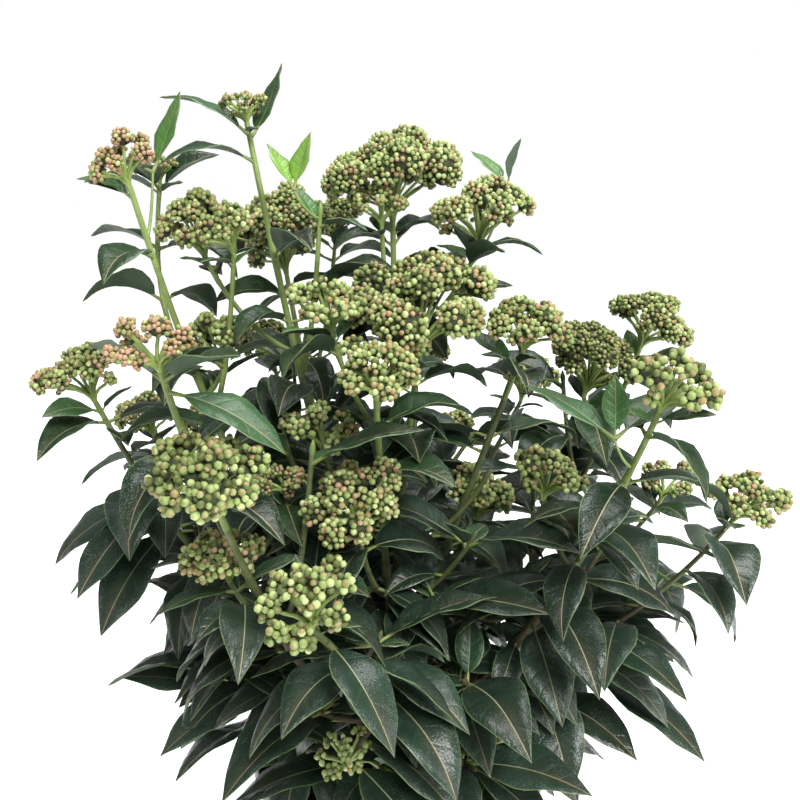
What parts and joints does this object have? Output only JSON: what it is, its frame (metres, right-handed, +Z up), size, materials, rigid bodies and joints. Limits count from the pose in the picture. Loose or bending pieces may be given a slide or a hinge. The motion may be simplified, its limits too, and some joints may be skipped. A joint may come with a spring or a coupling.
{
  "type": "potted laurustinus",
  "caption": "Evergreen laurustinus shrub in bud, with dark paired leaves and flat-topped heads of small green-pink buds, in a plain dark plastic nursery pot.",
  "frame": {"origin": "middle of the pot's flat underside", "axes": "+Z up; the pictured front faces -Y, its left is -X"},
  "size_m": [0.4493, 0.4334, 0.6317],
  "materials": {
    "pot_plastic": "matte",
    "potting_mix": "rough, composted bark",
    "bark": "matte",
    "foliage": "leathery, slightly glossy"
  },
  "bodies": {
    "root": {"back_bough": "bark", "back_foliage": "foliage", "back_left_bough": "bark", "back_left_foliage": "foliage", "back_right_bough": "bark", "back_right_foliage": "foliage", "centre_bough": "bark", "centre_foliage": "foliage", "far_left_bough": "bark", "far_left_foliage": "foliage", "far_right_bough": "bark", "far_right_foliage": "foliage", "front_bough": "bark", "front_foliage": "foliage", "left_bough": "bark", "left_foliage": "foliage", "low_front_bough": "bark", "low_front_foliage": "foliage", "low_left_bough": "bark", "low_left_foliage": "foliage", "near_left_bough": "bark", "near_left_foliage": "foliage", "near_right_bough": "bark", "near_right_foliage": "foliage", "pot": "pot_plastic", "potting_mix": "potting_mix", "rear_left_bough": "bark", "rear_left_foliage": "foliage", "right_centre_bough": "bark", "right_centre_foliage": "foliage", "skirt_1_foliage": "foliage", "skirt_2_foliage": "foliage", "skirt_3_foliage": "foliage", "skirt_4_foliage": "foliage", "skirt_5_foliage": "foliage", "skirt_6_foliage": "foliage", "skirt_7_foliage": "foliage", "skirt_8_foliage": "foliage", "top_bough": "bark", "top_foliage": "foliage", "top_left_bough": "bark", "top_left_foliage": "foliage", "trunk": "bark"}
  },
  "joints": []
}
